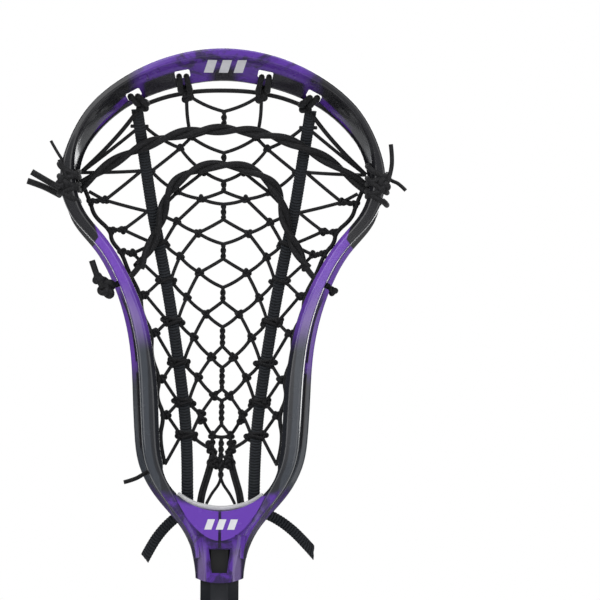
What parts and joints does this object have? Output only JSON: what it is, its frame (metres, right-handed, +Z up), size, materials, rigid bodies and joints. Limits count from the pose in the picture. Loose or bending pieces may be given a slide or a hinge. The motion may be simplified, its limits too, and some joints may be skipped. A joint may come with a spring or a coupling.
{
  "type": "lacrosse stick",
  "caption": "Women's lacrosse stick: strung head with a hung pocket of knotted lace and flat thongs, on an octagonal handle with a pull-off butt cap.",
  "frame": {"origin": "on the handle's axis at the lower lip of the head's socket, where the top hand holds the stick", "axes": "+Z up the handle towards the scoop, -Y towards the open side that faces the ball, +X to the right when the open side is looked at"},
  "size_m": [0.2224, 0.0663, 1.0945],
  "materials": {
    "head_plastic": "glossy, purple and graphite marbled",
    "handle_composite": "satin blue-black composite",
    "screw_steel": "blackened",
    "cap_rubber": "matt",
    "stop_foam": "pale foam",
    "black_lace": "braided polyester",
    "black_thong": "flat ribbed braid",
    "black_net": "knotted braided cord"
  },
  "bodies": {
    "stick": {"head_frame": "head_plastic", "shaft": "handle_composite", "ball_stop_pad": "stop_foam", "top_string": "black_lace", "runway_end_strings": "black_lace", "left_string_end": "black_lace", "upper_shooting_lace_a": "black_lace", "upper_shooting_lace_b": "black_lace", "lower_shooting_lace_a": "black_lace", "lower_shooting_lace_b": "black_lace", "left_corner_string": "black_lace", "right_corner_string": "black_lace", "left_sidewall_string": "black_lace", "right_sidewall_string": "black_lace", "left_throat_lace": "black_lace", "right_throat_lace": "black_lace", "left_shooting_lace_ends": "black_lace", "right_shooting_lace_ends": "black_lace", "left_lace_knot": "black_lace", "right_lace_knot": "black_lace", "left_rail_wrap": "black_lace", "right_rail_wrap": "black_lace", "left_thong": "black_thong", "right_thong": "black_thong", "left_thong_tail": "black_thong", "right_thong_tail": "black_thong", "runway_net": "black_net", "left_side_net": "black_net", "right_side_net": "black_net"},
    "screw": {"head_screw": "screw_steel"},
    "cap": {"butt_cap": "cap_rubber"}
  },
  "joints": [
    {"name": "screw_back_out", "type": "slide", "parent": "stick", "child": "screw", "axis": [0, 1, 0], "range_m": [0, 0.0165]},
    {"name": "cap_pull_off", "type": "slide", "parent": "stick", "child": "cap", "axis": [0, 0, -1], "range_m": [0, 0.026]}
  ]
}
